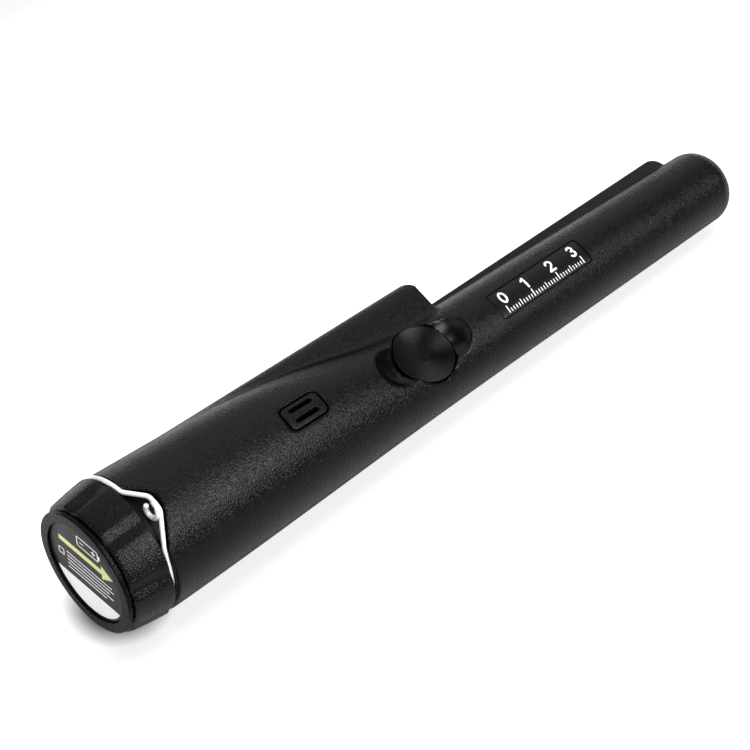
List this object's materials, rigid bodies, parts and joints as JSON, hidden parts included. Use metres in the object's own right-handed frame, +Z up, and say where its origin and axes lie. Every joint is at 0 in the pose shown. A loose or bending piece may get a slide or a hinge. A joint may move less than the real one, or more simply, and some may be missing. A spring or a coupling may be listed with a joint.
{
  "type": "pinpointer metal detector probe",
  "caption": "Hand-held metal-detecting probe with a tapered moulded body, thumb button, slim search barrel with scraper blade, wire lanyard ring and screw-off battery cap.",
  "frame": {"origin": "centre of the bounding box, on the surface the probe lies on", "axes": "+X along the length towards the slim tip, +Z up from the surface, +Y towards the hump side"},
  "size_m": [0.2316, 0.0386, 0.0394],
  "materials": {
    "shell_plastic": "fine grained moulded texture",
    "plate_plastic": "satin film",
    "collar_plastic": "moulded",
    "cap_plastic": "satin moulded",
    "label_film": "printed film",
    "gasket_rubber": "matte",
    "pad_foam": "foam",
    "wire_steel": "bright drawn wire",
    "button_plastic": "satin",
    "spring_steel": "rolled",
    "switch_plastic": "moulded",
    "switch_plunger": "moulded",
    "battery_sleeve": "plain sleeve",
    "contact_metal": "plated",
    "board_laminate": "solder mask",
    "chassis_plastic": "moulded",
    "screw_steel": "zinc plated",
    "lead_insulation": "insulated wire",
    "chip_epoxy": "moulded",
    "capacitor_can": "sleeved can",
    "chip_ceramic": "fired",
    "motor_steel": "drawn can",
    "weight_metal": "sintered",
    "clip_rubber": "matte",
    "led_epoxy": "clear",
    "bezel_metal": "polished",
    "ferrite": "sintered",
    "coil_copper": "enamelled wire"
  },
  "bodies": {
    "body": {"housing": "shell_plastic", "label_plate": "plate_plastic", "speaker_grille": "shell_plastic", "threaded_collar": "collar_plastic", "lanyard_ring": "wire_steel", "button_seal": "gasket_rubber", "tact_switch": "switch_plastic", "battery": "battery_sleeve", "battery_terminals": "contact_metal", "battery_contacts": "contact_metal", "contact_board": "board_laminate", "inner_chassis": "chassis_plastic", "chassis_screws": "screw_steel", "battery_leads": "lead_insulation", "main_pcb": "board_laminate", "pcb_screws": "screw_steel", "ic_chips": "chip_epoxy", "capacitors": "capacitor_can", "chip_resistors": "chip_ceramic", "buzzer": "switch_plastic", "vibration_motor": "motor_steel", "motor_clip": "clip_rubber", "led": "led_epoxy", "led_bezel": "bezel_metal", "led_leads": "contact_metal", "ferrite_rod": "ferrite", "coil_former": "chassis_plastic", "receive_coil": "coil_copper", "transmit_coil": "coil_copper", "coil_leads": "lead_insulation", "tip_cushion": "pad_foam"},
    "gasket": {"cap_gasket": "gasket_rubber"},
    "cap": {"battery_cap": "cap_plastic", "cap_label": "label_film", "cap_pad": "pad_foam"},
    "button": {"power_button": "button_plastic", "button_clip": "spring_steel", "switch_plunger": "switch_plunger"},
    "spinner": {"motor_shaft": "motor_steel", "eccentric_weight": "weight_metal"}
  },
  "joints": [
    {"name": "cap_lift", "type": "slide", "parent": "body", "child": "gasket", "axis": [-0.9996, 0, 0.0284], "range_m": [0, 0.0061]},
    {"name": "cap_turn", "type": "hinge", "parent": "gasket", "child": "cap", "pos_m": [-0.10945, 0, 0.01946], "axis": [-0.9996, 0, 0.0284], "range_deg": [0, 720]},
    {"name": "button_press", "type": "slide", "parent": "body", "child": "button", "axis": [-0.0268, 0.3305, -0.9434], "range_m": [0, 0.0006], "stiffness_N_per_m": 2500},
    {"name": "weight_spin", "type": "hinge", "parent": "body", "child": "spinner", "pos_m": [-0.04173, 0.00156, 0.00854], "axis": [0.9996, 0, -0.0284], "continuous": true}
  ],
  "couplings": [
    {"joint": "cap_lift", "follows": "cap_turn", "m_per_rad": 0.00047746}
  ]
}
